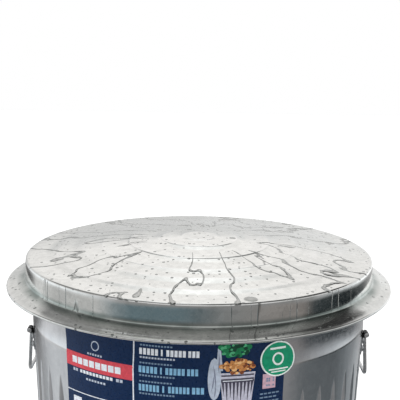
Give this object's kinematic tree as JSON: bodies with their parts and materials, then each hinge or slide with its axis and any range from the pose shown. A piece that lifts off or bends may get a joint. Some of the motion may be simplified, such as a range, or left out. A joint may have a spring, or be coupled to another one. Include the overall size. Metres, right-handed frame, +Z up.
{
  "type": "galvanized steel waste can",
  "caption": "Tall round galvanized steel waste can with a fluted tapering wall, a loose stepped lid with a sloping brim, and a drop handle of bent wire on each side.",
  "frame": {"origin": "centre of the base, on the floor the can stands on", "axes": "+Z up along the can's axis; the label faces -Y; the two handles are on +X and -X"},
  "size_m": [0.546, 0.546, 0.6859],
  "materials": {
    "galvanised_wall": "hot-dip galvanized sheet, satin with spangle",
    "galvanised_lid": "hot-dip galvanized sheet, satin with fine spangle, wet",
    "galvanised_base": "hot-dip galvanized sheet, dull",
    "rim_wire": "plain steel wire",
    "handle_wire": "zinc-plated steel wire, worn",
    "ear_sheet": "zinc-plated stamped sheet",
    "rivets": "domed steel rivets",
    "label_paper": "coated printed paper, satin",
    "sticker_paper": "coated printed paper, satin"
  },
  "bodies": {
    "can": {"body_wall": "galvanised_wall", "rim_wire": "rim_wire", "bottom_pan": "galvanised_base", "left_front_ear": "ear_sheet", "left_rear_ear": "ear_sheet", "right_front_ear": "ear_sheet", "right_rear_ear": "ear_sheet", "left_front_rivets": "rivets", "left_rear_rivets": "rivets", "right_front_rivets": "rivets", "right_rear_rivets": "rivets", "label": "label_paper", "round_sticker": "sticker_paper"},
    "lid": {"lid_shell": "galvanised_lid"},
    "left_handle": {"left_bail": "handle_wire"},
    "right_handle": {"right_bail": "handle_wire"}
  },
  "joints": [
    {"name": "lid_lift", "type": "slide", "parent": "can", "child": "lid", "axis": [0, 0, 1], "range_m": [0, 0.15]},
    {"name": "right_handle_swing", "type": "hinge", "parent": "can", "child": "right_handle", "pos_m": [0.2363, 0, 0.5595], "axis": [0, -1, 0], "range_deg": [0, 150]},
    {"name": "left_handle_swing", "type": "hinge", "parent": "can", "child": "left_handle", "pos_m": [-0.2363, 0, 0.5595], "axis": [0, 1, 0], "range_deg": [0, 150]}
  ]
}
